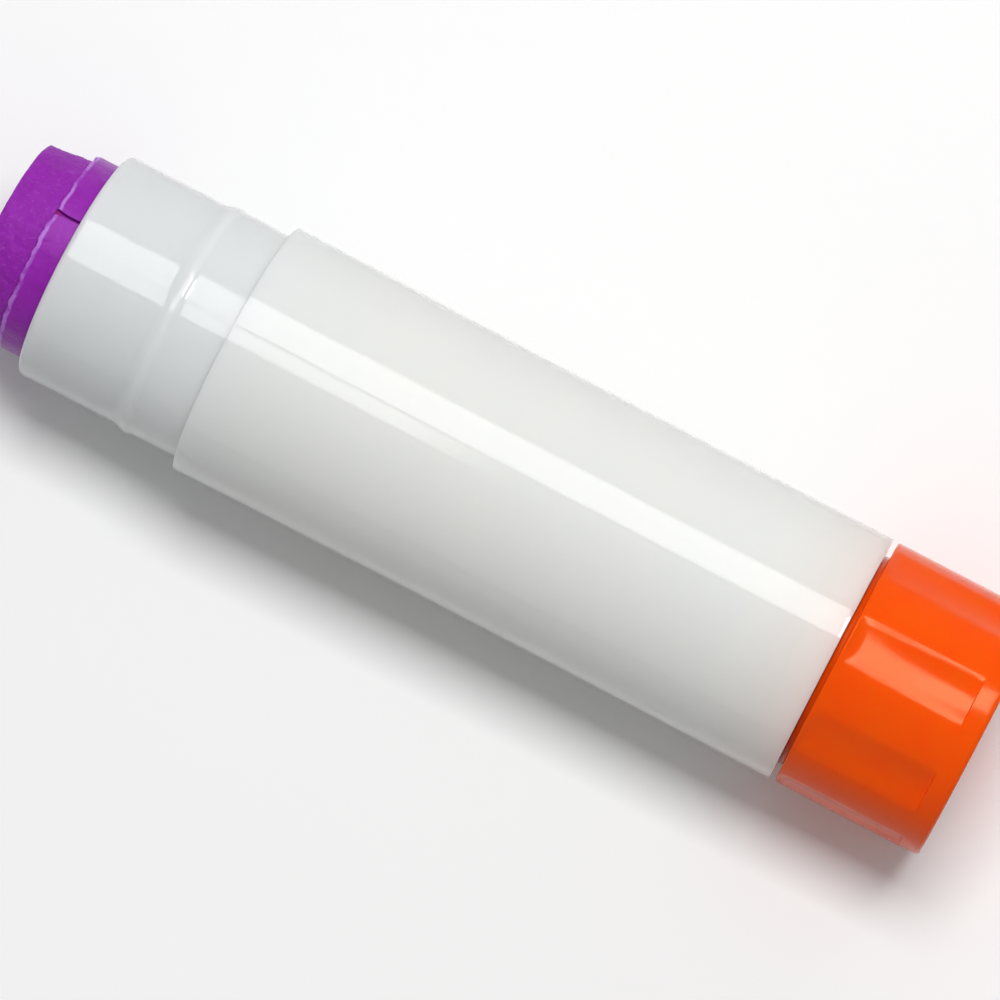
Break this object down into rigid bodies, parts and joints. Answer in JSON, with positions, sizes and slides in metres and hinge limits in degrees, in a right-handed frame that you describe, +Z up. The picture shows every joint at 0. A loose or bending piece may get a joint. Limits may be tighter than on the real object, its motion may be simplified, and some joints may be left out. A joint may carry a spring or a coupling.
{
  "type": "glue stick",
  "caption": "Small twist-up glue stick: milky barrel with a stepped cap neck, coloured glue pushed out by a lead screw, and a ribbed turning knob.",
  "frame": {"origin": "middle of the footprint, on the surface that the stick lies on", "axes": "+X along the stick's axis from the glue towards the knob, +Z up, away from the surface that it lies on"},
  "size_m": [0.073, 0.0182, 0.0182],
  "materials": {
    "barrel_plastic": "milky translucent polypropylene, satin",
    "knob_plastic": "bright orange moulded polypropylene, semi-gloss",
    "screw_plastic": "natural white moulded plastic",
    "carrier_plastic": "natural white moulded plastic",
    "glue_paste": "purple waxy glue, smooth where cast and rough where worn"
  },
  "bodies": {
    "barrel": {"barrel": "barrel_plastic"},
    "knob": {"knob": "knob_plastic", "spindle": "screw_plastic"},
    "carrier": {"carrier": "carrier_plastic", "glue": "glue_paste"}
  },
  "joints": [
    {"name": "knob_turn", "type": "hinge", "parent": "barrel", "child": "knob", "pos_m": [0.0286, 0, 0.0091], "axis": [-1, 0, 0], "range_deg": [-576.05, 2016.05]},
    {"name": "carrier_travel", "type": "slide", "parent": "barrel", "child": "carrier", "axis": [-1, 0, 0], "range_m": [-0.008, 0.028]}
  ],
  "couplings": [
    {"joint": "knob_turn", "follows": "carrier_travel", "rad_per_m": 1256.6}
  ]
}
